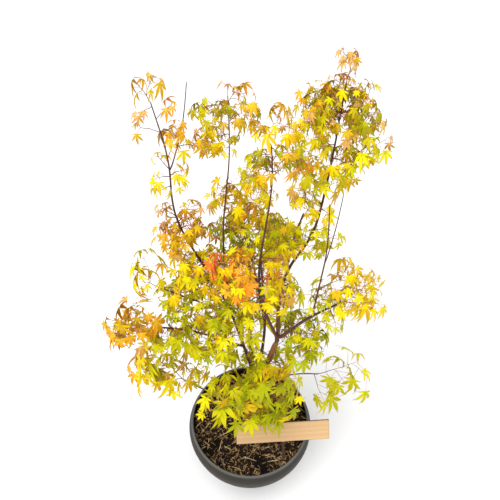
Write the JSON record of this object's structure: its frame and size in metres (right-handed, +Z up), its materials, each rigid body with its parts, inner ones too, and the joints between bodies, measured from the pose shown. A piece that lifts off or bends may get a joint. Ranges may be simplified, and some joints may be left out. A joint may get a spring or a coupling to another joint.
{
  "type": "potted japanese maple",
  "caption": "Young Japanese maple in autumn leaf on slim forking stems, in a dark round-bellied planter filled with compost, with a plain wooden plant tag.",
  "frame": {"origin": "middle of the planter's flat underside", "axes": "+Z up along the plant; -Y is the side that the tag faces, +X to the right as seen from there"},
  "size_m": [0.546, 0.3977, 1.129],
  "materials": {
    "planter": "satin",
    "compost": "matte",
    "timber": "matte",
    "bark": "matte",
    "leaf_rose": "matte",
    "leaf_orange": "matte",
    "leaf_amber": "matte",
    "leaf_gold": "matte",
    "leaf_ember": "matte",
    "leaf_olive": "matte",
    "leaf_lime": "matte",
    "leaf_green": "matte"
  },
  "bodies": {
    "root": {"trunk": "bark", "left_stem": "bark", "right_stem": "bark", "mid_stem": "bark", "centre_stem": "bark", "right_back_stem": "bark", "right_slant": "bark", "right_arm": "bark", "bare_stem": "bark", "bare_twig": "bark", "centre_left_stem": "bark", "left_bare_twig": "bark", "left_bough": "bark", "left_flank_bough": "bark", "low_left": "bark", "low_right": "bark", "front_left_bough": "bark", "front_right_bough": "bark", "back_bough": "bark", "back_low_bough": "bark", "left_top_spray": "leaf_rose", "left_leader_spray": "leaf_amber", "left_fork_spray": "leaf_gold", "left_low_spray": "leaf_gold", "left_shoulder": "leaf_amber", "middle_left": "leaf_gold", "middle_low": "leaf_lime", "left_flank": "leaf_gold", "left_mid": "leaf_lime", "centre_left_top": "leaf_olive", "centre_left_skirt": "leaf_gold", "centre_tip": "leaf_gold", "centre_upper": "leaf_olive", "middle": "leaf_ember", "middle_right": "leaf_gold", "right_tip": "leaf_rose", "right_crown": "leaf_olive", "right_crown_inner": "leaf_gold", "right_skirt": "leaf_lime", "right_reach": "leaf_lime", "right_hem": "leaf_gold", "right_pocket": "leaf_lime", "centre_back": "leaf_gold", "back_high": "leaf_green", "centre_right": "leaf_lime", "left_end": "leaf_orange", "left_bough_spray": "leaf_lime", "left_inner": "leaf_lime", "left_foot": "leaf_gold", "right_arm_end": "leaf_gold", "right_arm_mid": "leaf_lime", "right_lower": "leaf_green", "right_foot": "leaf_lime", "front_left": "leaf_lime", "front_right": "leaf_lime", "front_low": "leaf_green", "back_low": "leaf_green", "planter": "planter", "compost": "compost", "plant_tag": "timber"}
  },
  "joints": []
}
